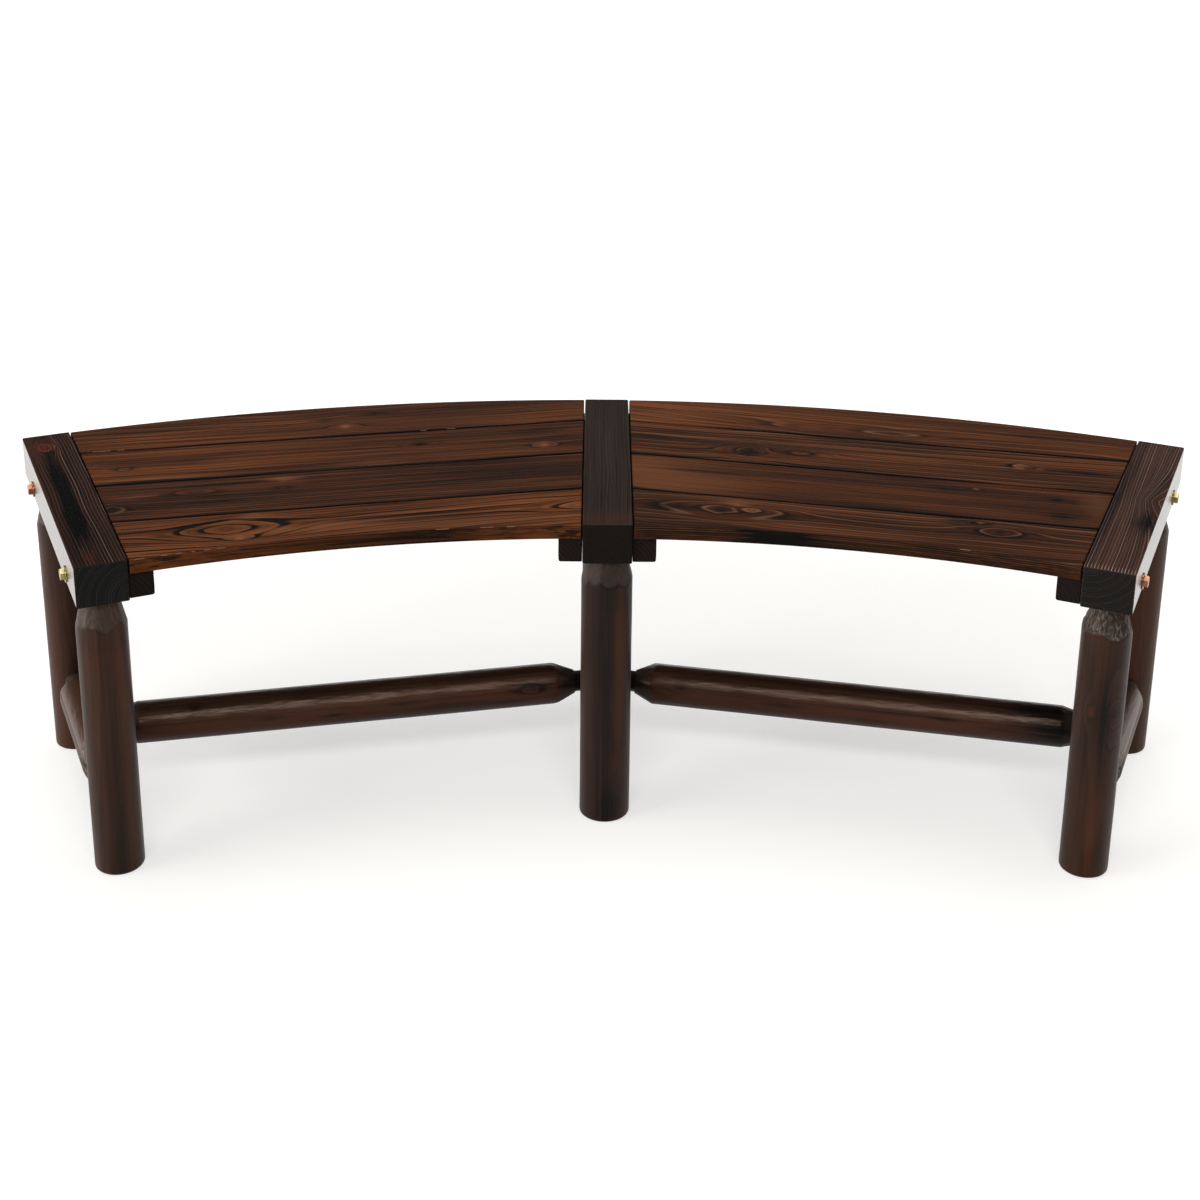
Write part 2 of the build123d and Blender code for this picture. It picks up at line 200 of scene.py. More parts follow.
def carbonised_fir(
    name, ring, sway, light, brown, line, char, glow, ridge, sawn, arc, line_depth, ridge_depth, streak,
    relief, rough, polish, coat=0, sheen="#ffffff", flats=0,
):
    """Flame-carbonised fir under a satin lacquer.

    The burner darkens the late wood of each growth ring and leaves soft black streaks along the grain,
    brushing raises the rings into fine ridges, and the lacquer warms the wood between them to a red brown.
    ring is the width of a growth ring and relief the height of a ridge, in millimetres; sway is how many ring
    widths the rings wander, streak how strongly fibres and soot show, and flats how much deeper than the
    ridges the peeling knife left its flats. Real fibres are too fine to show, so they are drawn 4 mm wide.
    """
    material, add = bare_material(name)
    figure, finish, stock, grain = (add("Attribute", attribute_name=layer)["Vector"] for layer in LAYERS)
    growth, end_cut, scorch_and_shading = add("SeparateXYZ", {0: figure})
    shade, hewn, wear_and_highlight = add("SeparateXYZ", {0: finish})
    lines, ridges, smoke = add("SeparateXYZ", {0: grain})

    # Patterns drawn out along the grain
    broad, long_fibre, long_soot, tear, strip = (
        add("VectorMath", {0: stock, 1: (1 / along, 1 / across, 1 / across)}, "MULTIPLY")[0]
        for along, across in (CLOUD_SIZE, FIBRE_SIZE, SOOT_SIZE, TEAR_SIZE, FLAT_SIZE)
    )
    drift, soot, peeled = (
        add("TexNoise", {"Vector": place, "Scale": 1.0})[0] for place in (broad, long_soot, strip)
    )
    fibre = add("TexNoise", {"Vector": long_fibre, "Scale": 1.0, "Detail": 4.0, "Roughness": 0.6})[0]
    cloud = add("TexNoise", {"Vector": broad, "Scale": 0.7, "Detail": 3.0})[0]

    # Growth rings: their width wanders, and each ring is burnt to its own depth
    grown = add("Math", {0: growth, 1: 1 / ring}, "MULTIPLY")[0]
    phase = add("Math", {0: drift, 1: sway, 2: grown}, "MULTIPLY_ADD")[0]
    number = add("Math", {0: phase}, "FLOOR")[0]
    within = add("Math", {0: phase}, "FRACT")[0]
    chance = add("TexWhiteNoise", {"W": number}, noise_dimensions="1D")[0]
    rise, fall, crest, back = (
        add("MapRange", {0: within, 1: start, 2: stop}, **EASED)[0]
        for start, stop in ((0.64, 0.9), (1.0, 0.96), (0.0, 0.08), (0.24, 0.1))
    )
    rare = add("Math", {0: chance, 1: 2.0}, "POWER")[0]
    burnt = add("MapRange", {0: rare, 3: 0.2, 4: 1.0})[0]
    late = add("Math", {0: rise, 1: fall}, "MULTIPLY")[0]
    late = add("Math", {0: late, 1: burnt}, "MULTIPLY")[0]
    halves = add("Math", {0: phase, 1: 2.0}, "MULTIPLY")[0]
    halves = add("Math", {0: halves}, "FRACT")[0]
    hair = add("MapRange", {0: halves, 1: 0.5, 2: 0.9}, **EASED)[0]

    # Wood between the rings, by the piece's shade and the flame's cloudy heat, then soot and fibres
    heat = add("Math", {0: cloud, 1: 2.2, 2: -0.6}, "MULTIPLY_ADD")[0]
    heat = add("Math", {0: heat, 1: shade}, "ADD", use_clamp=True)[0]
    colour = add("Mix", {0: heat, 6: brown, 7: light}, data_type="RGBA")[2]
    lined = add("Math", {0: late, 1: line_depth}, "MULTIPLY")[0]
    lined = add("Math", {0: lined, 1: lines}, "MULTIPLY", use_clamp=True)[0]
    sooted = add("MapRange", {0: soot, 1: 0.56, 2: 0.62}, **EASED)[0]
    sooted = add("Math", {0: sooted, 1: 0.55 * streak}, "MULTIPLY")[0]
    sooted = add("Math", {0: sooted, 1: smoke}, "MULTIPLY", use_clamp=True)[0]
    for share, over in ((lined, line), (sooted, char)):
        colour = add("Mix", {0: share, 6: colour, 7: over}, data_type="RGBA")[2]
    dim = 1 - 0.5 * streak
    bright = 1 + 0.5 * streak
    threads = add("MapRange", {0: fibre, 1: 0.3, 2: 0.7, 3: dim, 4: bright})[0]
    threads = add("Math", {0: hair, 1: -0.3 * streak, 2: threads}, "MULTIPLY_ADD")[0]
    colour = add("VectorMath", {0: colour, "Scale": threads}, "SCALE")[0]

    # Thin pale ridges where brushing bared the edge of a ring
    bared = crest
    for share in (back, burnt, ridge_depth):
        bared = add("Math", {0: bared, 1: share}, "MULTIPLY")[0]
    bared = add("Math", {0: bared, 1: ridges}, "MULTIPLY", use_clamp=True)[0]

    # Scorched eyes, hewn edges and necks, and the orange hearts of knots; also painted shade in the gaps
    # between boards, under the stretchers and down the middle of legs, and painted warm light on the right
    # side of legs
    licked = add("MapRange", {0: fibre, 1: 0.35, 2: 0.65, 3: 1.3, 4: 0.55})[0]
    black = add("Math", {0: scorch_and_shading, 1: licked}, "MULTIPLY", use_clamp=True)[0]
    heart = add("Math", {0: scorch_and_shading, 1: -1.0}, "MULTIPLY", use_clamp=True)[0]
    heart = add("Math", {0: heart, 1: licked}, "MULTIPLY", use_clamp=True)[0]

    # Sawn ends are charred, with the rings as faint pale arcs
    arcs = add("Mix", {0: late, 6: sawn, 7: arc}, data_type="RGBA")[2]

    # Hewn facets are grey brown; the more they are torn by the blade, the more the tears show
    torn = add("TexNoise", {"Vector": tear, "Scale": 1.0, "Detail": 3.0, "Distortion": 1.0})[0]
    torn = add("MapRange", {0: torn, 1: 0.4, 2: 0.68}, **EASED)[0]
    patch = add("TexNoise", {"Vector": stock, "Scale": 1 / 15, "Detail": 1.0})[0]
    patch = add("MapRange", {0: patch, 1: 0.36, 2: 0.6, 3: 0.35, 4: 1.0})[0]
    torn = add("Math", {0: torn, 1: patch}, "MULTIPLY")[0]
    torn = add("Mix", {0: hewn, 2: 0.3, 3: torn})[0]
    trimmed = add("Math", {0: hewn, 1: 1.8}, "MULTIPLY", use_clamp=True)[0]
    bare = add("Mix", {0: torn, 6: HEWN_DARK, 7: HEWN_PALE}, data_type="RGBA")[2]

    # All these lie one over the other, the char colour also laying painted shade and the glow colour painted
    # light; last come stretches of edge bared to the raw wood by wear, and on the rearmost left board painted
    # highlights in the same pale colour
    rubbed_and_highlit = add("MapRange", {0: wear_and_highlight, 1: 0.5, 2: 1.0})[0]
    for share, over in (
        (bared, ridge), (black, char), (heart, glow), (end_cut, arcs), (trimmed, bare), (rubbed_and_highlit, RAW_WOOD_AND_HIGHLIGHT)
    ):
        colour = add("Mix", {0: share, 6: colour, 7: over}, data_type="RGBA")[2]

    # Cut wood is duller than lacquered wood; late wood, tears and the knife's flats make its relief
    gloss = add("MapRange", {0: fibre, 1: 0.3, 2: 0.7, 3: rough - 0.06, 4: rough + 0.08})[0]
    dull = add("Math", {0: end_cut, 1: hewn}, "MAXIMUM")[0]
    gloss = add("Math", {0: dull, 1: 0.25, 2: gloss}, "MULTIPLY_ADD", use_clamp=True)[0]
    rasped = add("Math", {0: torn, 1: hewn}, "MULTIPLY")[0]
    height = late
    for form, depth in ((fibre, 0.3), (rasped, 2.0), (peeled, flats)):
        height = add("Math", {0: form, 1: depth, 2: height}, "MULTIPLY_ADD")[0]
    bump = add("Bump", {"Height": height, "Distance": relief / 1000})[0]
    lacquer = {
        "Base Color": colour, "Roughness": gloss, "IOR": 1.45, "Specular IOR Level": polish,
        "Specular Tint": sheen, "Coat Weight": coat, "Coat Roughness": 0.28, "Normal": bump,
    }
    surface = add("BsdfPrincipled", lacquer)[0]
    add("OutputMaterial", {0: surface})
    return material


def yellow_zinc():
    """Zinc with a yellow passivated film: bright, faintly brushed, from pale green gold to copper pink."""
    material, add = bare_material("yellow_passivated_zinc")
    where = add("TexCoord")["Object"]

    # The film's tint drifts over each head, and the bolts on one diagonal of the bench are pinker
    drift = add("TexNoise", {"Vector": where, "Scale": 130.0})[0]
    sideways, rearward, _ = add("SeparateXYZ", {0: where})
    diagonal = add("Math", {0: sideways, 1: rearward}, "MULTIPLY")[0]
    pinker = add("MapRange", {0: diagonal, 1: 0.02, 2: -0.02, 3: -0.14, 4: 0.16})[0]
    tint = add("Math", {0: drift, 1: pinker}, "ADD")[0]
    copper = add("MapRange", {0: tint, 1: 0.42, 2: 0.66}, **EASED)[0]
    colour = add("Mix", {0: copper, 6: "#958c62", 7: "#8c5f48"}, data_type="RGBA")[2]
    grain = add("TexNoise", {"Vector": where, "Scale": 1500.0})[0]
    gloss = add("MapRange", {0: grain, 3: 0.2, 4: 0.4})[0]
    bump = add("Bump", {"Height": grain, "Strength": 0.4, "Distance": 0.00005})[0]
    film = {"Base Color": colour, "Metallic": 1.0, "Roughness": gloss, "Normal": bump}
    surface = add("BsdfPrincipled", film)[0]
    add("OutputMaterial", {0: surface})
    return material


def screw_steel():
    """Hardened screw steel with a grey phosphate skin: dull, finely mottled."""
    material, add = bare_material("phosphated_steel")
    where = add("TexCoord")["Object"]
    mottle = add("TexNoise", {"Vector": where, "Scale": 900.0, "Detail": 3.0})[0]
    colour = add("Mix", {0: mottle, 6: "#4c4a47", 7: "#85827c"}, data_type="RGBA")[2]
    gloss = add("MapRange", {0: mottle, 3: 0.35, 4: 0.6})[0]
    surface = add("BsdfPrincipled", {"Base Color": colour, "Metallic": 1.0, "Roughness": gloss})[0]
    add("OutputMaterial", {0: surface})
    return material


# The boards' char colour also paints the shade of the gaps between them
BOARD_FIR = carbonised_fir(
    "carbonised_fir_board", ring=11, sway=0.7, light="#64371b", brown="#301a10", line="#120b08",
    char="#0e0c0b", glow="#805032", ridge="#7a5a42", sawn="#1b1715", arc="#4a3a30",
    line_depth=0.9, ridge_depth=0.5, streak=1, relief=0.2, rough=0.5, polish=0.05,
)
BEAM_FIR = carbonised_fir(
    "charred_fir_beam", ring=3.6, sway=0.5, light="#321c15", brown="#1c120e", line="#0c0908",
    char="#070606", glow="#56281a", ridge="#78655a", sawn="#1a1a1b", arc="#5a5751",
    line_depth=0.85, ridge_depth=0.6, streak=0.8, relief=0.25, rough=0.45, polish=0.03,
)
GREYED_FIR = carbonised_fir(
    "greyed_fir_beam", ring=3.4, sway=0.4, light="#302520", brown="#211a16", line="#0e0b0a",
    char="#0a0908", glow="#4a2a1f", ridge="#4d4039", sawn="#191613", arc="#2e2925",
    line_depth=0.8, ridge_depth=0.5, streak=0.5, relief=0.2, rough=0.45, polish=0.05,
)
BRUSHED_FIR = carbonised_fir(
    "brushed_fir_beam", ring=3.3, sway=0.4, light="#472b22", brown="#2c1d18", line="#120c0a",
    char="#0a0808", glow="#5c2c1b", ridge="#98847a", sawn="#1a1817", arc="#57524b",
    line_depth=0.85, ridge_depth=0.95, streak=0.7, relief=0.4, rough=0.45, polish=0.05,
)
PLANED_FIR = carbonised_fir(
    "planed_lacquered_fir", ring=6.4, sway=0.7, light="#4a2c20", brown="#2c1c17", line="#1c1311",
    char="#121010", glow="#5c2c1b", ridge="#6e5648", sawn="#151516", arc="#3d3b38",
    line_depth=0.6, ridge_depth=0.1, streak=0.5, relief=0.03, rough=0.3, polish=0.15, coat=0.95,
)
# On the logs the char colour also paints shade under the stretchers and down the middle of legs, and the glow
# colour paints warm light on the legs
LOG_WOOD = dict(
    ring=6, sway=1.6, light="#462a1e", brown="#1f140e", line="#130d0b",
    char="#080707", glow="#63331c", ridge="#5a463c", sawn="#1b1715", arc="#4a3a30",
    line_depth=0.3, ridge_depth=0.06, streak=0.34,
)
LOG_FIR = carbonised_fir(
    "carbonised_fir_log", relief=0.06, rough=0.42, polish=0.18, sheen="#fff4ea", flats=5, **LOG_WOOD
)
LACQUERED_FIR = carbonised_fir(
    "lacquered_fir_log", relief=0.12, rough=0.34, polish=0.56, sheen="#ffdcc4", flats=7, **LOG_WOOD
)
CLEAT_FIR = carbonised_fir(
    "carbonised_fir_cleat", ring=5, sway=0.8, light="#35211a", brown="#1f1613", line="#120e0d",
    char="#0e0c0c", glow="#5c3420", ridge="#5d483c", sawn="#1b1412", arc="#2e2420",
    line_depth=0.7, ridge_depth=0.25, streak=0.7, relief=0.25, rough=0.5, polish=0.08,
)
YELLOW_ZINC = yellow_zinc()
SCREW_STEEL = screw_steel()


def columns(*values):
    """Values of all points side by side; a single value stands for every point."""
    return np.stack(np.broadcast_arrays(*values), 1)


def ramp(value, width):
    """Rises from 0 to 1 while a value goes from nothing to a width."""
    return np.clip(value / width, 0, 1)


def bell(reach):
    """Falls off smoothly on both sides of nothing."""
    return np.exp(-(reach**2))


def set_out(points, angle):
    """Turns points about the arcs' centre to a trestle or panel at that angle, and to metres."""
    cosine = cos(radians(angle))
    sine = sin(radians(angle))
    x = points[:, 0] * cosine - points[:, 1] * sine
    y = points[:, 0] * sine + points[:, 1] * cosine - CENTRE_DISTANCE
    return columns(x, y, points[:, 2]) / 1000


def wander(along, reach, seed):
    """A slow drift to either side along a piece, different for each seed."""
    turns = np.random.default_rng(seed).uniform(0, 2 * pi, 3)
    slow = np.sin(along / 131 + turns[0]) + 0.6 * np.sin(along / 57 + turns[1])
    slow = slow + 0.3 * np.sin(along / 23 + turns[2])
    return reach * slow / 1.9


def fir_figure(stock, pith, slope, marks, seed):
    """Growth-ring distance, scorching with painted shading, and boldness of the rings at points of a piece.

    stock holds the points in the piece's own frame, X along the grain. pith is where the heart of the trunk
    passes the middle of the piece, and slope how fast the rings drift along it. Marks are knots, eyes, burnt
    patches, bands of painted shade and stripes of painted light. Each gives its place along and across, half
    length, half width, lift of the rings, and how far it darkens the wood with scorching and painted shade;
    below zero it warms the wood as a knot's heart and as painted light.
    """
    along, across, up = stock.T
    side = across - pith[0] - wander(along, 3.0, seed)
    depth = up - pith[1] - wander(along, 2.0, seed + 1)
    growth = np.hypot(side, depth) + slope * along
    scorch_and_shading = np.zeros(len(stock))
    bold = np.zeros(len(stock))
    for place, offset, half_length, half_width, lift, burn_and_shading in marks:
        bent = across - offset - wander(along, 0.16 * half_width, seed + 2)
        reach = np.abs((along - place) / half_length) ** 1.15 + (bent / half_width) ** 2
        if lift:
            level = growth[np.argmin(reach + 0.001 * (up.max() - up))]
            growth = growth + (level - growth) * np.exp(-((reach / 1.25) ** 4)) + lift * np.exp(-reach)
            heart = 2.2 if burn_and_shading > 0 else 3.4
            scorch_and_shading = scorch_and_shading + burn_and_shading * bell(heart * reach) + 0.3 * bell((reach - 0.95) / 0.16)
            bold = np.maximum(bold, bell(reach / 1.6))
        else:
            # Patches without a lift: burnt patches, bands of painted shade and stripes of painted light
            scorch_and_shading = scorch_and_shading + burn_and_shading * bell(reach)
    return growth, np.clip(scorch_and_shading, *SCORCH_AND_SHADING_RANGE), bold


def add_piece(name, points, faces, material, looks=None):
    """Makes one piece of the bench that stands for the solid of the same name.

    The looks of a wooden piece are its figure (ring distance, end cut, scorching with painted shading), its
    finish (shade, hewing, wear with painted highlights), its place in the stock and its grain (strength of
    ring lines, ridges and soot). A piece without them is a fastener with crisp flats.
    """
    mesh = bpy.data.meshes.new(name)
    mesh.from_pydata(points.tolist(), [], faces)
    mesh.polygons.foreach_set("use_smooth", [looks is not None] * len(mesh.polygons))
    for layer, values in zip(LAYERS, looks or ()):
        held = mesh.attributes.new(layer, "FLOAT_VECTOR", "POINT")
        values = np.broadcast_to(np.asarray(values, np.float32), (len(points), 3))
        held.data.foreach_set("vector", values.ravel())
    mesh.materials.append(material)
    mesh.update()
    made = put_in(name + "_look", mesh)
    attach(made, "root")
    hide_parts(name)
    return made


def put_in(name, data):
    """A new object in the scene."""
    made = bpy.data.objects.new(name, data)
    bpy.context.scene.collection.objects.link(made)
    return made


def refinish(made, material, chosen):
    """Gives the faces of a piece that are chosen by their corners a second finish."""
    made.data.materials.append(material)
    for face in made.data.polygons:
        face.material_index = int(chosen(list(face.vertices)))


def rule_off(extent, ease, step):
    """Lines across a sawn face: close together over the eased edges, evenly spaced between them."""
    half = extent / 2
    edge = np.array([half, half - 0.3 * ease, half - ease])
    inside = half - ease - FIRST_STEP
    count = max(1, round(2 * inside / step))
    return np.concatenate([-edge, np.linspace(-inside, inside, count + 1), edge[::-1]])


def sawn_block(length, width, height, ease, step):
    """Points and faces of a sawn block about its middle, length along X, with eased edges."""
    lines = [rule_off(extent, ease, step) for extent in (length, width, height)]
    numbers = {}
    faces = []
    for axis in range(3):
        first = (axis + 1) % 3
        second = (axis + 2) % 3
        for side in (0, len(lines[axis]) - 1):
            for p in range(len(lines[first]) - 1):
                for q in range(len(lines[second]) - 1):
                    face = []
                    for dp, dq in ((0, 0), (1, 0), (1, 1), (0, 1)):
                        key = [side, side, side]
                        key[first] = p + dp
                        key[second] = q + dq
                        face.append(numbers.setdefault(tuple(key), len(numbers)))
                    faces.append(face if side else face[::-1])
    points = np.array([[lines[axis][key[axis]] for axis in range(3)] for key in numbers])
    core = np.array([length, width, height]) / 2 - ease
    inner = np.clip(points, -core, core)
    outward = points - inner
    outward = outward / np.linalg.norm(outward, axis=1, keepdims=True) * ease
    return inner + outward, faces


def seat_board(side, number, shade, pith, slope, grain, marks, rubbed_and_highlit=(), charred_front=()):
    """A seat board: straight stock between two edges, cut on the seat's arcs and on the slant of the beams.

    Boards are numbered from the rear, and edges that face another board are painted dark with the shade of
    the gap between them. rubbed gives the stretches of the front edge bared to the raw wood by wear, and on
    the rearmost left board painted highlights along its gap; charred_front gives the place, half length and
    depth of burns on the front face of the foremost board.
    """
    seed = number if side == "left" else number + BOARDS
    foremost = number == BOARDS
    rear = BOARD_REARMOST - (number - 1) * BOARD_PITCH
    front = rear - BOARD_PITCH + BOARD_GAP
    middle = (front + rear) / 2
    half = PANEL_ACROSS + (middle - PANEL_ALONG) * tan(HALF_ANGLE)
    step = FRONT_BOARD_STEP if foremost else BOARD_STEP
    block, faces = sawn_block(2 * half, rear - front, BOARD_THICKNESS, BOARD_EASE, step)
    along, across, up = block.T
    share = across / (rear - front) + 0.5
    x = along
    for _ in range(FITTING_ROUNDS):
        front_edge = np.maximum(front, np.sqrt(FRONT_RADIUS**2 - x**2))
        rear_edge = np.minimum(rear, np.sqrt(REAR_RADIUS**2 - x**2))
        y = front_edge + share * (rear_edge - front_edge)
        x = along / half * (PANEL_ACROSS + (y - PANEL_ALONG) * tan(HALF_ANGLE))
    stock = columns(x, y - middle, up)
    growth, scorch_and_shading, bold = fir_figure(stock, pith, slope, marks, seed)
    to_front = across + (rear - front) / 2
    to_rear = (rear - front) / 2 - across
    # The edges that face another board are painted dark to a wandering width: painted shade of the gap
    lip = 2.3 + 1.4 * np.sin(x / 37 + seed) * np.sin(x / 91 + 2 * seed)
    brushed = np.zeros(len(x))
    if foremost:
        on_face = ramp(1.0 - to_front, 0.8)
        for place, half_length, burn_and_shading in charred_front:
            flame = burn_and_shading * on_face * bell((x - place) / half_length)
            scorch_and_shading = scorch_and_shading + flame
            brushed = brushed + 5 * flame
        growth = growth + (4 * up + wander(x, 9, seed) - growth) * on_face
    else:
        scorch_and_shading = scorch_and_shading + ramp(lip - to_front, 1.2)
    if number > 1:
        scorch_and_shading = scorch_and_shading + ramp(lip - to_rear, 1.2)
    end_cut = ramp(np.abs(along) - half + 0.6, 0.5)
    top_edge = ramp(1 - np.abs(up - BOARD_THICKNESS / 2 + 0.4) / 1.2, 1)
    patches = np.zeros(len(x))
    for start, stop in rubbed_and_highlit:
        patches = np.where((x > start) & (x < stop), 1.0, patches)
    wear_and_highlight = top_edge * ramp(1.0 - to_front, 0.6) * patches
    looks = (
        columns(growth, end_cut, np.clip(scorch_and_shading, *SCORCH_AND_SHADING_RANGE)),
        columns(shade, 0, wear_and_highlight),
        stock + [seed * STOCK_APART, 0, 0],
        np.array(grain) * columns(1 + 1.2 * bold, 1 + 0.6 * bold + brushed, 1 - bold),
    )
    points = set_out(columns(x, y, up + BOARD_BOTTOM + BOARD_THICKNESS / 2), PANELS[side])
    add_piece(f"{side}_slat_{number}", points, faces, BOARD_FIR, looks)


def beam(name, angle, timber, shade, pith, slope, end_pith, marks, raised, combed, seed):
    """A squared beam along its trestle, with its edges eased; its flanks are planed smooth and lacquered.

    end_pith is the middle of the arcs on its sawn ends. raised says how much more the brushed ridges stand
    out along its right side, and combed at its front edge.
    """
    block, faces = sawn_block(BEAM_LENGTH, BEAM_WIDTH, BEAM_HEIGHT, BEAM_EASE, BEAM_STEP)
    along, across, up = block.T
    growth, scorch_and_shading, bold = fir_figure(block, pith, slope, marks, seed)
    end_cut = ramp(np.abs(along) - BEAM_LENGTH / 2 + 0.9, 0.7)
    arcs = 2.2 * np.hypot(across - end_pith[0], up - end_pith[1])
    growth = np.where(end_cut > 0.5, arcs, growth)
    ridges = 1 + raised * ramp(-across - 2, 6)
    ridges = ridges + combed * ramp(15 - BEAM_LENGTH / 2 - along, 11)
    looks = (
        columns(growth, end_cut, scorch_and_shading),
        (shade, 0, 0),
        block + [seed * STOCK_APART, 0, 0],
        columns(1 + bold, ridges, 1 - bold),
    )
    placed = columns(-across, along + BEAM_MIDDLE, up + BEAM_BOTTOM + BEAM_HEIGHT / 2)
    made = add_piece(name, set_out(placed, angle), faces, timber, looks)
    refinish(made, PLANED_FIR, lambda corners: np.abs(across[corners]).min() > BEAM_WIDTH / 2 - 0.2)


def cleat(name, angle, side, seed):
    """A cleat along the side of a beam, under the ends of the boards, with its lower free corner rounded."""
    block, faces = sawn_block(CLEAT_LENGTH, CLEAT_WIDTH, CLEAT_HEIGHT, CLEAT_EASE, CLEAT_STEP)
    along, across, up = block.T
    outward = np.maximum(-side * across - CLEAT_WIDTH / 2 + CLEAT_ROUNDING, 0)
    downward = np.maximum(-up - CLEAT_HEIGHT / 2 + CLEAT_ROUNDING, 0)
    excess = 1 - CLEAT_ROUNDING / np.maximum(np.hypot(outward, downward), CLEAT_ROUNDING)
    across = across + side * outward * excess
    up = up + downward * excess
    stock = columns(along, across, up)
    growth, scorch_and_shading, _ = fir_figure(stock, (40.0, -30.0), 0.02, [], seed)
    end_cut = ramp(np.abs(along) - CLEAT_LENGTH / 2 + 0.8, 0.6)
    looks = (columns(growth, end_cut, scorch_and_shading), (0, 0, 0), stock + [seed * STOCK_APART, 0, 0], (1, 1, 1))
    sideways = side * (CLEAT_INNER + CLEAT_WIDTH / 2)
    placed = columns(sideways - across, along + BEAM_MIDDLE, up + BOARD_BOTTOM - CLEAT_HEIGHT / 2)
    add_piece(name, set_out(placed, angle), faces, CLEAT_FIR, looks)


def round_bar(stations, radius, around, closed=False):
    """Points and faces of a bar about Z. Each station is a height and a share of the outline there.

    A closed bar runs from the last station back to the first, as a ring does; others are capped.
    """
    angles = np.arange(around) * 2 * pi / around
    points = []
    for height, share in stations:
        out = radius(angles, height) * share
        points.append(columns(out * np.cos(angles), out * np.sin(angles), float(height)))
    rings = len(points)
    faces = []
    for i in range(rings if closed else rings - 1):
        lower = i * around
        upper = (i + 1) % rings * around
        for k in range(around):
            after = (k + 1) % around
            faces.append([lower + k, lower + after, upper + after, upper + k])
    if not closed:
        points.append(np.array([[0, 0, stations[0][0]], [0, 0, stations[-1][0]]], float))
        bottom = rings * around
        last = (rings - 1) * around
        for k in range(around):
            after = (k + 1) % around
            faces.append([bottom, after, k])
            faces.append([bottom + 1, last + k, last + after])
    return np.concatenate(points), faces


def whole(start, stop, count):
    """Evenly spaced stations of a bar at which its outline is taken whole."""
    return [(height, 1.0) for height in np.linspace(start, stop, count)]


def hewn_outline(angles, from_tip, diameter, tip_diameter, taper, facets, turn):
    """A log's hewn end at a distance from its tip: slightly crowned facets that run out into the round."""
    drop = (diameter - tip_diameter) / 2
    out = np.full(len(angles), diameter / 2)
    for facet in range(facets):
        around = 2 * pi * facet / facets + turn
        reach = taper * (1 + HEWN_WANDER * cos(radians(HEWN_TURN * facet)))
        facing = np.cos(angles - around)
        flat = tip_diameter / 2 + drop * from_tip / reach
        crowned = flat / np.maximum(facing, FACET_FACING) ** FACET_CROWN
        out = np.where(facing > FACET_FACING, np.minimum(out, crowned), out)
    return out


def uneven(angles, height, seed):
    """How far a peeled log falls short of a true cylinder, in millimetres."""
    turns = np.random.default_rng(seed).uniform(0, 2 * pi, 5)
    swell = np.sin(2 * angles + turns[0] + height / 210) + 0.7 * np.sin(3 * angles + turns[1] - height / 120)
    swell = swell + 0.5 * np.sin(height / 37 + turns[2] + angles)
    swell = swell + 0.3 * np.sin(7 * angles + turns[3] + height / 60)
    swell = swell + 0.3 * np.sin(height / 12 + 3 * angles + turns[4])
    return 0.22 * (2.8 - swell) / 2


def log_figure(points, marks, seed):
    """Ring figure of a log about Z, whose heart lies off its axis, and how strongly it shows round knots."""
    stock = points[:, [2, 0, 1]]
    heart = np.random.default_rng(seed).uniform(-7, 7, 2)
    growth, scorch_and_shading, bold = fir_figure(stock, heart, 0.012, marks, seed)
    grain = columns(1 + 3 * bold, 1 + 2 * bold, 1 - bold)
    return stock + [seed * STOCK_APART, 0, 0], growth, scorch_and_shading, grain


def leg(name, angle, place, form, torn, shade, marks, seed):
    """A log leg: rounded foot, peeled round shaft, hewn top and a tenon up into the beam.

    torn says how rough the blade left the top, from 0 for clean facets to 1 for deep gouges.
    """
    diameter, shoulder_diameter, facets, turn = form
    turn = radians(turn)
    tenon_top = BEAM_BOTTOM + LEG_TENON_LENGTH

    def outline(angles, height):
        if height > BEAM_BOTTOM:
            return np.full(len(angles), LEG_TENON_DIAMETER / 2)
        foot = max(0.0, FOOT_ROUNDING - height)
        foot = FOOT_ROUNDING - sqrt(FOOT_ROUNDING**2 - foot**2)
        shaft = diameter / 2 - uneven(angles, height, seed) - foot
        from_tip = BEAM_BOTTOM - height
        knife = hewn_outline(angles, from_tip, diameter, shoulder_diameter, LEG_TAPER, facets, turn)
        waves = 0.6 * height + 6 * angles + 2 * np.sin(3 * angles + seed)
        gouges = np.sin(waves) * np.sin(19 * angles + seed)
        cut = ramp(diameter / 2 - knife, 1.5)
        return np.minimum(shaft, knife - 0.6 * torn * cut * (1 + gouges))

    stations = [(0.0, 0.35), (0.0, 0.7)]
    stations += [(FOOT_ROUNDING * (1 - cos(a)), 1.0) for a in np.linspace(0, pi / 2, 6)]
    stations += whole(12, BEAM_BOTTOM - 52, 40) + whole(BEAM_BOTTOM - 49, BEAM_BOTTOM, 30)
    stations += [(BEAM_BOTTOM + 0.01, 1.0), (tenon_top - 1, 1.0), (tenon_top, 0.94)]
    points, faces = round_bar(stations, outline, LEG_SIDES)
    stock, growth, scorch_and_shading, grain = log_figure(points, marks, seed)
    high = points[:, 2]
    sunk = diameter / 2 - np.hypot(points[:, 0], points[:, 1])
    near_top = high > BEAM_BOTTOM - 60
    hewn = ramp(sunk - 0.7, 0.5) * near_top
    fringe = bell((sunk - 1.0) / 0.7) * near_top
    scorch_and_shading = np.clip(scorch_and_shading + 0.4 * fringe, *SCORCH_AND_SHADING_RANGE)
    figure = columns(growth, ramp(0.4 - high, 0.4), scorch_and_shading)
    finish = columns(shade, hewn * (0.15 + 0.65 * torn), 0)
    points = set_out(points + [0, place, 0], angle)
    add_piece(name, points, faces, LOG_FIR, (figure, finish, stock, grain))


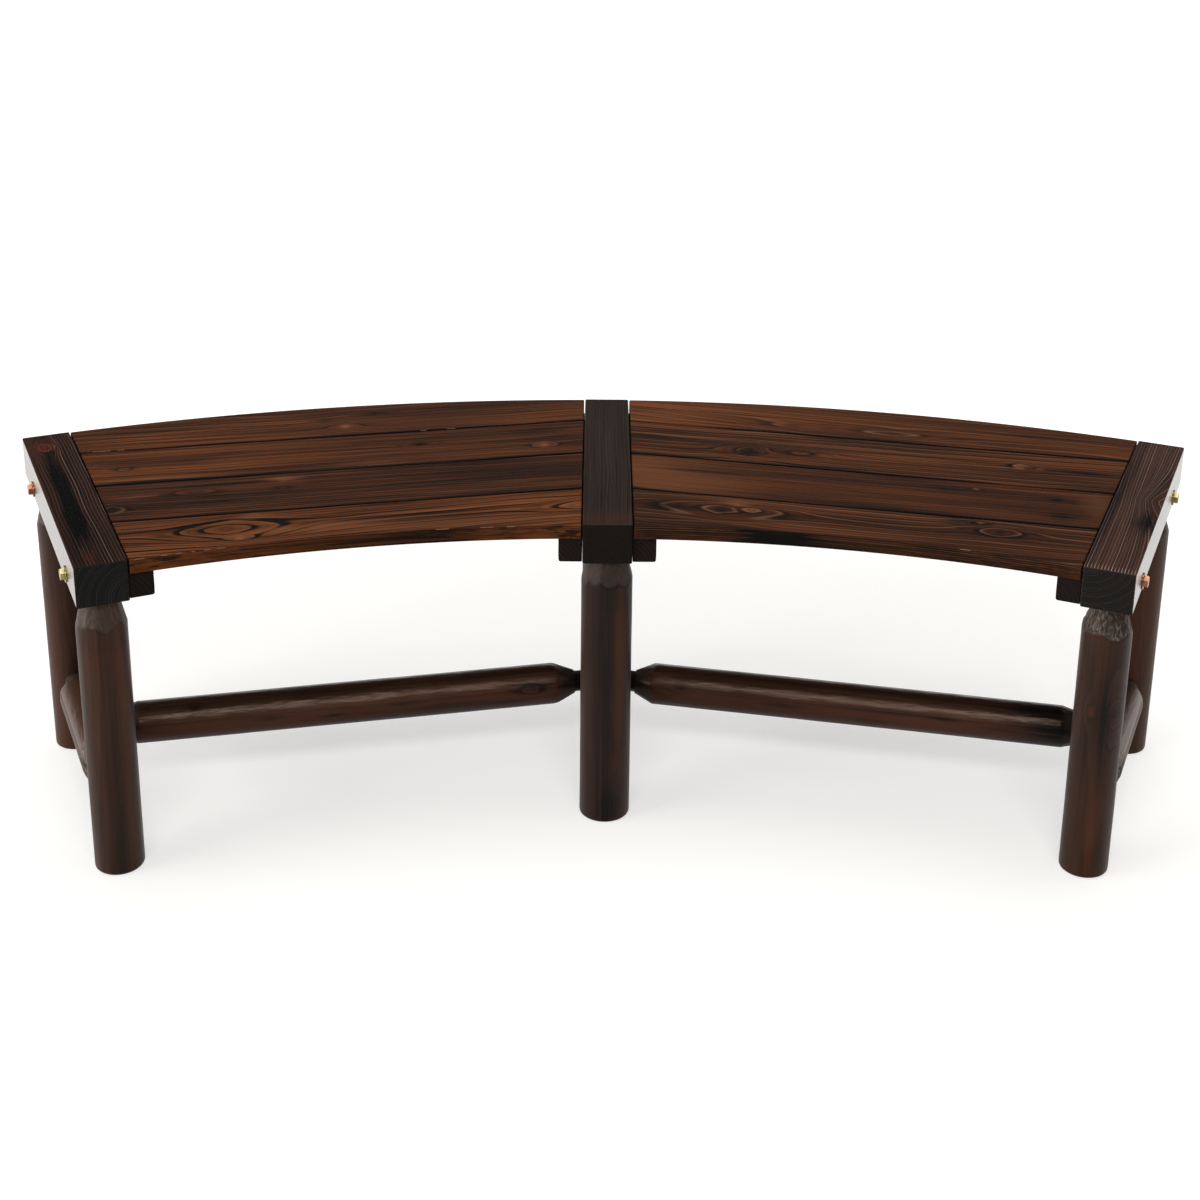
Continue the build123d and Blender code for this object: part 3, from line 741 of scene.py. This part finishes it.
def hewn_rail(clear, diameter, tenon_diameter, ends, seed):
    """A log along Z about the middle of the clear span between its mortises, hewn at both ends."""
    (low_tip, low_taper, low_neck), (high_tip, high_taper, high_neck) = ends
    bottom = low_neck - clear / 2
    top = clear / 2 - high_neck
    tenon_end = clear / 2 + TENON_BITE

    def outline(angles, height):
        if not bottom <= height <= top:
            return np.full(len(angles), tenon_diameter / 2)
        low = hewn_outline(-angles, height - bottom, diameter, low_tip, low_taper, HEWN_FACETS, 0.0)
        high = hewn_outline(angles, top - height, diameter, high_tip, high_taper, HEWN_FACETS, 0.0)
        return np.minimum(diameter / 2 - uneven(angles, height, seed), np.minimum(low, high))

    low_end = bottom + 1.35 * low_taper
    high_end = top - 1.35 * high_taper
    stations = [(-tenon_end, 0.5), (-tenon_end, 0.96), (1 - tenon_end, 1.0), (bottom - 0.01, 1.0)]
    stations += whole(bottom, low_end, 16)
    stations += whole(low_end + 3, high_end - 3, round((high_end - low_end) / 7))
    stations += whole(high_end, top, 16)
    stations += [(top + 0.01, 1.0), (tenon_end - 1, 1.0), (tenon_end, 0.96), (tenon_end, 0.5)]
    return round_bar(stations, outline, RAIL_SIDES)


def lying_log(name, angle, points, faces, placed, clear, ends, charred, shade, marks, seed):
    """Finishes and places a rail or stretcher.

    Each hewn end is charred black, from 0 to 1, or left bare and grey; bare ends are trimmed further along.
    The lacquer settled more thickly on the upper side of the log.
    """
    stock, growth, scorch_and_shading, grain = log_figure(points, marks, seed)
    high = points[:, 2]
    bare = np.zeros(len(high))
    for (_, taper, neck), char, from_mortise in zip(ends, charred, (high + clear / 2, clear / 2 - high)):
        length = taper if char else BARE_TRIM * taper
        cut = ramp(neck + length - from_mortise, 0.5 * taper)
        scorch_and_shading = scorch_and_shading + char * cut
        bare = np.maximum(bare, (1 - char) * 0.9 * cut)
    looks = (columns(growth, 0, np.clip(scorch_and_shading, *SCORCH_AND_SHADING_RANGE)), columns(shade, bare, 0), stock, grain)
    made = add_piece(name, set_out(placed, angle), faces, LOG_FIR, looks)
    refinish(made, LACQUERED_FIR, lambda corners: points[corners, 0].mean() > LACQUER_LINE)


def cross_rail(name, angle, leg_diameter, shade, seed):
    """A cross rail between the two legs of a trestle."""
    clear = REAR_LEG - FRONT_LEG - leg_diameter
    ends = (RAIL_END, RAIL_END)
    points, faces = hewn_rail(clear, RAIL_DIAMETER, RAIL_TENON_DIAMETER, ends, seed)
    placed = points[:, [1, 2, 0]] + [0, RAIL_MIDDLE, RAIL_HEIGHT]
    lying_log(name, angle, points, faces, placed, clear, ends, RAIL_CHAR, shade, [], seed)


def stretcher(name, angle, ends, shade, marks, seed):
    """A stretcher across its panel, from one cross rail to the next."""
    clear = STRETCHER_CLEAR
    points, faces = hewn_rail(clear, STRETCHER_DIAMETER, STRETCHER_TENON_DIAMETER, ends, seed)
    placed = columns(points[:, 2], -points[:, 1], points[:, 0])
    placed = placed + [0, RAIL_MIDDLE * cos(HALF_ANGLE), STRETCHER_HEIGHT]
    lying_log(name, angle, points, faces, placed, clear, ends, STRETCHER_CHAR, shade, marks, seed)


def hexagon(angles):
    """The outline of a bolt head or nut."""
    from_flat = (angles % (pi / 3)) - pi / 6
    return BOLT_HEAD_WIDTH / 2 / np.cos(from_flat)


def joined(parts):
    """Several closed forms as the points and faces of one piece."""
    points = []
    faces = []
    for part_points, part_faces in parts:
        shift = sum(len(p) for p in points)
        points.append(part_points)
        faces += [[number + shift for number in face] for face in part_faces]
    return np.concatenate(points), faces


def bolt_form(grip):
    """A hex bolt about Z: its head below zero, its shank through the grip, its thread showing at the end."""
    head_foot = -WASHER_THICKNESS - BOLT_HEAD_HEIGHT
    tip = grip + WASHER_THICKNESS + NUT_HEIGHT + BOLT_END
    thread_start = tip - THREAD_LENGTH

    def outline(angles, height):
        if height <= -WASHER_THICKNESS:
            chamfer = BOLT_HEAD_WIDTH / 2 - 0.3 + (height - head_foot) * CHAMFER_RISE
            return np.minimum(hexagon(angles), chamfer)
        if height < thread_start:
            return np.full(len(angles), BOLT_DIAMETER / 2)
        turn = (height / THREAD_PITCH - angles / (2 * pi)) % 1
        lead_in = max(0.0, height - tip + 1.0)
        return BOLT_DIAMETER / 2 - THREAD_DEPTH * np.abs(2 * turn - 1) - 0.8 * lead_in

    stations = [(head_foot, 0.45), (head_foot, 1.0)] + whole(head_foot + 0.25, head_foot + 1.2, 5)
    stations += [(-WASHER_THICKNESS - 0.3, 1.0), (-WASHER_THICKNESS, 0.985), (-WASHER_THICKNESS + 0.01, 1.0)]
    stations += [(thread_start - 0.5, 1.0)]
    stations += [(h, 1.0) for h in np.arange(thread_start, tip, THREAD_PITCH / 6)]
    stations += [(tip, 1.0), (tip, 0.5)]
    return round_bar(stations, outline, FASTENER_SIDES)


def washer_form(base):
    """A flat washer about Z, standing on a base height, with its rims broken."""
    rim = WASHER_DIAMETER / 2
    hole = WASHER_HOLE / 2 / rim
    top = base + WASHER_THICKNESS
    stations = [(base, hole), (base, 0.98), (base + 0.25, 1.0), (top - 0.25, 1.0), (top, 0.98), (top, hole)]
    return round_bar(stations, lambda angles, height: np.full(len(angles), rim), FASTENER_SIDES, closed=True)


def nut_form(base):
    """A hex nut about Z with chamfered corners at both faces; its last two rings are the rims of its bore."""
    top = base + NUT_HEIGHT

    def outline(angles, height):
        edge = min(height - base, top - height)
        return np.minimum(hexagon(angles), BOLT_HEAD_WIDTH / 2 - 0.2 + edge * CHAMFER_RISE)

    heights = [base, base + 0.3, base + 0.7, base + 1.1, top - 1.1, top - 0.7, top - 0.3, top]
    stations = [(h, 1.0) for h in heights + [top, base]]
    points, faces = round_bar(stations, outline, FASTENER_SIDES, closed=True)
    angles = np.arange(FASTENER_SIDES) * 2 * pi / FASTENER_SIDES
    rim = columns(np.cos(angles), np.sin(angles)) * WASHER_HOLE / 2
    points[len(heights) * FASTENER_SIDES :, :2] = np.concatenate([rim, rim])
    return points, faces


def fasteners(name, angle, head_face, nut_face):
    """The two bolts of a trestle with their washers and nuts, clamped between two faces across it."""
    grip = abs(nut_face - head_face)
    across = 1 if nut_face > head_face else -1
    forms = {
        "bolts": [bolt_form(grip)],
        "washers": [washer_form(-WASHER_THICKNESS), washer_form(grip)],
        "nuts": [nut_form(grip + WASHER_THICKNESS)],
    }
    for group, parts in forms.items():
        placed = []
        for place in BOLT_PLACES:
            for points, faces in parts:
                x = head_face + across * points[:, 2]
                z = BOLT_HEIGHT + across * points[:, 0]
                placed.append((columns(x, place - points[:, 1], z), faces))
        points, faces = joined(placed)
        add_piece(f"{name}_{group}", set_out(points, angle), faces, YELLOW_ZINC)


# Seat boards, rear to front: shade, heart of the trunk, drift of the rings, strength of ring lines, ridges
# and soot, then the marks that each board shows, its stretches of edge bared by wear (painted highlights on
# the rearmost left board) and its burns
seat_board(
    "left", 1, -0.1, (70, -70), 0.01, (1, 0.6, 1),
    [
        (11, -25, 26, 15, 12, -0.7), (-14, 4, 20, 8, 0, 0.6), (55, 16, 34, 9, 9, 0.8),
        (-230, 2, 130, 4, 0, 0.8), (220, 18, 100, 6, 0, 0.7), (-120, -12, 130, 4, 0, 0.5),
        (120, 2, 100, 4, 0, 0.45), (-200, 22, 120, 4, 0, 0.6),
    ],
    # Painted highlights along the gap to the next board, in the pale colour of raw wood
    [(-318, -292), (-284, -276), (108, 118), (144, 157)],
)
seat_board(
    "left", 2, -0.04, (-90, -55), 0.02, (0.8, 0.5, 1),
    [
        (-274, -8, 20, 9, 10, 0.7), (102, 10, 30, 11, 9, 0.9), (263, -23, 22, 13, 12, -0.7),
        (259, 28, 50, 12, 0, 0.6), (290, 5, 50, 5, 0, 0.8), (-230, -44, 90, 6, 0, -0.4),
        (-150, 22, 50, 6, 0, 0.6), (20, -8, 60, 4, 0, 0.6), (30, -40, 60, 5, 0, -0.3),
        (-190, 6, 40, 9, 0, 0.45),
    ],
)
seat_board(
    "left", 3, -0.3, (110, -60), -0.02, (0.9, 0.5, 1),
    [
        (-285, -22, 24, 14, 12, 0.7), (-255, 10, 44, 6, 0, -0.5), (-187, 16, 40, 12, 16, 0.2),
        (-150, 34, 100, 6, 0, 0.8), (-80, 38, 26, 8, 0, -0.8), (90, -4, 180, 5, 0, 0.7),
        (-80, 12, 18, 8, 8, 0.6), (-215, 8, 70, 4, 0, 0.7), (180, 24, 90, 4, 0, 0.45),
    ],
)
seat_board(
    "left", 4, 0.42, (-75, -40), -0.02, (1.7, 0.6, 1.4),
    [
        (-143, 8, 88, 36, 22, 0), (-152, 10, 40, 15, 13, 0.15), (-137, -16, 22, 11, 8, -0.7),
        (-120, 42, 26, 8, 0, -0.5), (-236, 24, 70, 4, 0, 0.6), (90, 14, 130, 5, 0, 0.9),
        (30, 27, 150, 4, 0, 0.7), (60, -34, 130, 4, 0, 0.6), (270, 6, 70, 20, 26, -0.2),
        (-40, 24, 70, 4, 0, 0.5), (130, 0, 90, 4, 0, 0.6), (150, -22, 150, 7, 0, -0.35),
        (-60, -2, 120, 8, 0, -0.35), (200, 30, 90, 6, 0, -0.3), (0, 4, 150, 34, 0, -0.12),
    ],
    [
        (-258, -244), (-228, -219), (-209, -202), (-193, -188), (-179, -170), (-163, -153), (88, 107),
        (140, 158), (174, 184),
    ],
    [(40, 110, 0.28), (-60, 60, 0.1)],
)
seat_board(
    "right", 1, 0.12, (-80, -60), 0.03, (0.5, 1.2, 0.5),
    [
        (-60, -28, 100, 15, 20, 0), (20, -26, 90, 14, 16, 0), (212, 1, 60, 7, 0, 0.6),
        (-270, -25, 60, 25, 0, -0.15),
    ],
)
seat_board(
    "right", 2, 0, (90, -45), 0.02, (1.5, 1.1, 1.2),
    [
        (-157, -20, 50, 26, 30, 1.1), (-290, 5, 55, 6, 0, 0.8), (-270, 28, 70, 4, 0, 0.8),
        (192, 10, 20, 11, 10, -0.6), (217, 5, 18, 9, 9, -0.5), (275, 3, 70, 6, 0, 0.9),
        (-235, -30, 70, 5, 0, 0.7), (-250, 15, 80, 4, 0, -0.4), (40, -18, 90, 4, 0, 0.6),
        (-92, -9, 40, 12, 12, 0.5), (0, 20, 160, 5, 0, -0.25), (200, 0, 130, 45, 0, 0.14),
    ],
)
seat_board(
    "right", 3, -0.22, (90, -60), 0.01, (0.5, 0.4, 0.5),
    [
        (-280, -10, 120, 60, 0, -0.35), (137, 34, 24, 9, 9, -0.6), (100, 30, 34, 11, 0, 0.5),
        (237, 21, 18, 9, 9, 0.8), (242, -31, 20, 13, 0, 0.7), (285, 5, 34, 40, 0, -0.3),
        (-200, 14, 70, 4, 0, 0.5), (130, -5, 170, 45, 0, 0.3),
    ],
)
seat_board(
    "right", 4, -0.22, (80, -40), 0.02, (0.8, 1.3, 0.8),
    [
        (-170, 18, 100, 30, 30, 0), (-222, 16, 34, 9, 0, 0.9), (-150, 40, 22, 10, 0, -0.5),
        (-130, 22, 18, 10, 8, -0.5), (-163, 20, 16, 14, 0, 0.8), (168, 20, 44, 17, 26, 0.2),
        (144, 44, 20, 8, 7, -0.5), (118, 40, 22, 12, 0, 0.5), (-100, -34, 130, 4, 0, 0.6),
        (60, 4, 100, 4, 0, 0.5),
    ],
    [(121, 135)],
    [(-110, 130, 0.4), (150, 190, 0.45)],
)

# Beams: timber, shade, heart of the trunk, drift of the rings, middle of the end arcs, marks and ridges
beam(
    "left_beam", TRESTLE_ANGLE, BEAM_FIR, 0, (110, -30), 0.01, (-34, -20),
    [
        (166, 7, 40, 15, 8, -0.4), (168, 8, 48, 18, 0, -0.5), (50, 6, 95, 10, 0, 1.5),
        (-70, 8, 85, 12, 0, 1.5), (-172, 8, 50, 10, 0, -0.7), (-150, 0, 80, 40, 0, 0.35),
    ],
    1.6, 0, 11,
)
beam(
    "middle_beam", 0, GREYED_FIR, 0, (-110, -70), 0.005, (40, -60), [(-200, 0, 30, 40, 0, -0.3)], 0, 0, 12
)
beam(
    "right_beam", -TRESTLE_ANGLE, BRUSHED_FIR, 0.1, (140, -60), 0.01, (25, 45),
    [(12, -36, 95, 34, 16, 0), (-62, -18, 34, 19, 0, 0.8), (0, 27, 260, 6, 0, 0.8)],
    0, 4, 13,
)

# Cleats: the trestle they lie along, and its left or right side as minus or plus one
cleat("left_outer_cleat", TRESTLE_ANGLE, 1, 21)
cleat("left_inner_cleat", 0, -1, 22)
cleat("right_inner_cleat", 0, 1, 23)
cleat("right_outer_cleat", -TRESTLE_ANGLE, -1, 24)

# Legs: how torn the top is, shade and marks
leg(
    "left_front_leg", TRESTLE_ANGLE, FRONT_LEG, LEFT_LEGS, 0.25, 0.1,
    # Painted shade down the middle of the leg, front and back, and painted light as a warm stripe on its
    # right side
    [(160, -1, 400, 10, 0, 0.45), (150, 13, 400, 6, 0, -0.25)],
    31,
)
leg("left_rear_leg", TRESTLE_ANGLE, REAR_LEG, LEFT_LEGS, 0.4, 0.2, [], 32)
leg(
    "middle_front_leg", 0, FRONT_LEG, MIDDLE_LEGS, 0.1, -0.1,
    # Painted shade down the middle of the leg, front and back, painted light as a warm stripe high on its
    # right side, and a dark foot
    [(170, -4, 400, 13, 0, 0.65), (240, 17, 130, 8, 0, -0.45), (22, 6, 26, 14, 0, 0.8)],
    33,
)
leg("middle_rear_leg", 0, REAR_LEG, MIDDLE_LEGS, 0.1, 0, [], 34)
leg(
    "right_front_leg", -TRESTLE_ANGLE, FRONT_LEG, RIGHT_LEGS, 1, 0.1,
    [
        (224, 23, 34, 12, 16, 0.6), (226, -5, 12, 8, 5, -0.7), (180, 12, 60, 6, 0, 0.5),
        (262, 10, 40, 7, 0, 0.4), (218, 8, 42, 9, 0, 0.7), (60, 9, 70, 5, 0, -0.4),
    ],
    35,
)
leg("right_rear_leg", -TRESTLE_ANGLE, REAR_LEG, RIGHT_LEGS, 0.6, 0.6, [], 36)

# Rails and stretchers; each stretcher has painted shade along its underside, a dark band along its top and a
# warm band between them
cross_rail("left_cross_rail", TRESTLE_ANGLE, END_LEG_DIAMETER, 0.3, 41)
cross_rail("middle_cross_rail", 0, MIDDLE_LEG_DIAMETER, 0, 42)
cross_rail("right_cross_rail", -TRESTLE_ANGLE, END_LEG_DIAMETER, 0.3, 43)
# Bands along each stretcher: painted shade on the underside, a darker top, and a warmer middle
STRETCHER_BANDS = [(0, -26, 900, 13, 0, 0.9), (0, 26, 900, 7, 0, 0.5), (0, -4, 900, 15, 0, -0.24)]
stretcher(
    "left_stretcher", PANELS["left"], (LEFT_OUTER_END, INNER_END), 0.3,
    [
        (-203, 20, 18, 6, 4, 0.9), (228, 10, 28, 9, 5, 0.9), (-150, 17, 60, 4, 0, 0.5),
        (120, -4, 90, 4, 0, 0.5), *STRETCHER_BANDS, (-30, -2, 16, 3, 0, 0.9),
        (-110, 3, 22, 3, 0, 0.7), (60, 4, 26, 3, 0, 0.7), (190, -8, 30, 3, 0, 0.6),
    ],
    44,
)
stretcher(
    "right_stretcher", PANELS["right"], (INNER_END, RIGHT_OUTER_END), 0.3,
    [
        (-225, 12, 26, 9, 5, 0.9), (284, 0, 72, 90, 0, 1.6), (60, 9, 80, 4, 0, 0.5), *STRETCHER_BANDS,
        (-90, 2, 30, 3, 0, 0.7), (20, -6, 24, 3, 0, 0.7), (120, 6, 20, 3, 0, 0.8), (190, 0, 26, 3, 0, 0.6),
    ],
    45,
)

# Fasteners; the screws keep their solids and take a steel finish
fasteners("left", TRESTLE_ANGLE, -BEAM_WIDTH / 2, CLEAT_OUTER)
fasteners("middle", 0, -CLEAT_OUTER, CLEAT_OUTER)
fasteners("right", -TRESTLE_ANGLE, BEAM_WIDTH / 2, -CLEAT_OUTER)
for name in ("left_slat_screws", "right_slat_screws"):
    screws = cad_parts[name]
    screws.data.materials.clear()
    screws.data.materials.append(SCREW_STEEL)


def pale_floor():
    """Matt white studio floor: it takes the bench's soft shadow, and is whiter away from the bench."""
    material, add = bare_material("matt_white_floor")
    path = add("LightPath")
    seen = add("Math", {0: path["Is Camera Ray"], 1: path["Is Glossy Ray"]}, "MAXIMUM")[0]
    seen = add("Math", {0: seen, 1: path["Is Transmission Ray"]}, "MAXIMUM")[0]
    paper = add("BsdfDiffuse", {"Color": "#bdbbb6", "Roughness": 1.0})[0]
    where = add("TexCoord")["Object"]
    away = add("VectorMath", {0: where, 1: (0, -0.25, 0)}, "DISTANCE")["Value"]
    glow = add("MapRange", {0: away, 1: 0.6, 2: 1.8, 3: 0.57, 4: 0.75})[0]
    lit = add("Emission", {"Color": (1, 1, 1, 1), "Strength": glow})[0]
    both = add("AddShader", {0: paper, 1: lit})[0]
    shown = add("MixShader", {0: seen, 1: paper, 2: both})[0]
    add("OutputMaterial", {0: shown})
    return material


def add_floor(reach):
    """The studio floor under the bench."""
    mesh = bpy.data.meshes.new("floor")
    corners = [(-reach, -reach, 0), (reach, -reach, 0), (reach, reach, 0), (-reach, reach, 0)]
    mesh.from_pydata(corners, [], [[0, 1, 2, 3]])
    mesh.materials.append(pale_floor())
    floor = put_in("floor", mesh)


def add_softbox(name, place, towards, size, power):
    """A soft studio lamp that faces a point."""
    lamp = bpy.data.lights.new(name, "AREA")
    lamp.shape = "RECTANGLE"
    lamp.size = size[0]
    lamp.size_y = size[1]
    lamp.energy = power
    box = put_in(name, lamp)
    box.location = place
    box.visible_camera = False
    box.rotation_mode = "QUATERNION"
    box.rotation_quaternion = (Vector(towards) - Vector(place)).to_track_quat("-Z", "Y")


# Studio, in metres and watts: panels for the lacquer's highlights, and a strip that lights the front
add_floor(30)
add_softbox("left_panel", (-4.4, -1.3, 1), (0, 0, 0.25), (3.6, 1.5), 190)
add_softbox("right_panel", (2.4, 0.2, 0.5), (0, 0, 0.25), (2.2, 0.9), 9)
add_softbox("back_panel", (0, 2.4, 0.35), (0, 0, 0.2), (4.5, 0.6), 14)
add_softbox("front_strip", (0, -3.1, 3.3), (0, 0, 0.1), (2.6, 0.8), 57)

# Even light from a wide ceiling
ceiling = bpy.data.lights.new("ceiling", "SUN")
ceiling.energy = 2.3
ceiling.angle = radians(46)
overhead = put_in("ceiling", ceiling)
overhead.rotation_euler = (radians(-12), 0, 0)

world = bpy.data.worlds.new("studio")
bpy.context.scene.world = world
world.use_nodes = True
world.node_tree.nodes.clear()
air = node(world.node_tree, "Background", {"Color": (1, 1, 1, 1), "Strength": 0.1})[0]
node(world.node_tree, "OutputWorld", {0: air})

# Camera at the photograph's place: focal length and axis in pixels of the frame, then yaw, tilt and roll
FRAME_PIXELS = 1200
FOCAL_PIXELS = 1944.7
AXIS_PIXEL = (637.65, 327.87)
SENSOR_WIDTH = 36
CAMERA_PLACE = (-0.01694, -2.27255, 1.36873)
YAW = radians(-1.315)
TILT = radians(18.503)
ROLL = radians(0.953)
camera_data = bpy.data.cameras.new("camera")
camera_data.sensor_width = SENSOR_WIDTH
camera_data.lens = SENSOR_WIDTH * FOCAL_PIXELS / FRAME_PIXELS
camera_data.shift_x = (FRAME_PIXELS / 2 - AXIS_PIXEL[0]) / FRAME_PIXELS
camera_data.shift_y = (AXIS_PIXEL[1] - FRAME_PIXELS / 2) / FRAME_PIXELS
camera = put_in("camera", camera_data)
aimed = Matrix.Rotation(YAW, 4, "Z") @ Matrix.Rotation(pi / 2 - TILT, 4, "X") @ Matrix.Rotation(ROLL, 4, "Z")
camera.matrix_world = Matrix.Translation(CAMERA_PLACE) @ aimed
bpy.context.scene.camera = camera
bpy.context.scene.view_settings.view_transform = "Standard"
